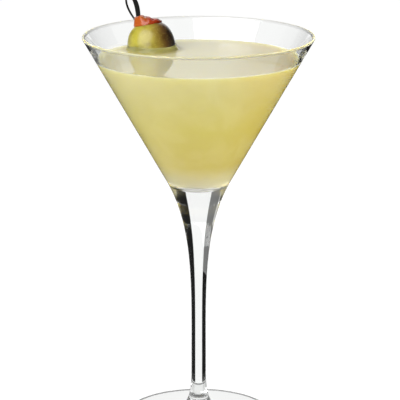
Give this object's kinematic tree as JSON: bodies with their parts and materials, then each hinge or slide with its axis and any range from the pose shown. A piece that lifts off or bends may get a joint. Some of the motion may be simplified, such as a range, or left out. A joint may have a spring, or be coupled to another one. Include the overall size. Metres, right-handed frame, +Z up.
{
  "type": "mexican martini",
  "caption": "Cloudy pale green cocktail in a stemmed conical glass, with a stuffed green olive on a looped steel pick.",
  "frame": {"origin": "on the glass's axis, at the underside of its foot", "axes": "+Z up along the glass's axis; the pick leans towards -X and +Y, with the olive at the bowl's wall there"},
  "size_m": [0.1092, 0.1092, 0.2036],
  "materials": {
    "clear_glass": "clear, fire polished",
    "cloudy_drink": "cloudy liquid, glossy surface",
    "olive_skin": "smooth and wet",
    "pimento_flesh": "soft and wet",
    "polished_steel": "polished"
  },
  "bodies": {
    "root": {"glass": "clear_glass", "drink": "cloudy_drink", "olive": "olive_skin", "pimento": "pimento_flesh", "pick": "polished_steel"}
  },
  "joints": []
}
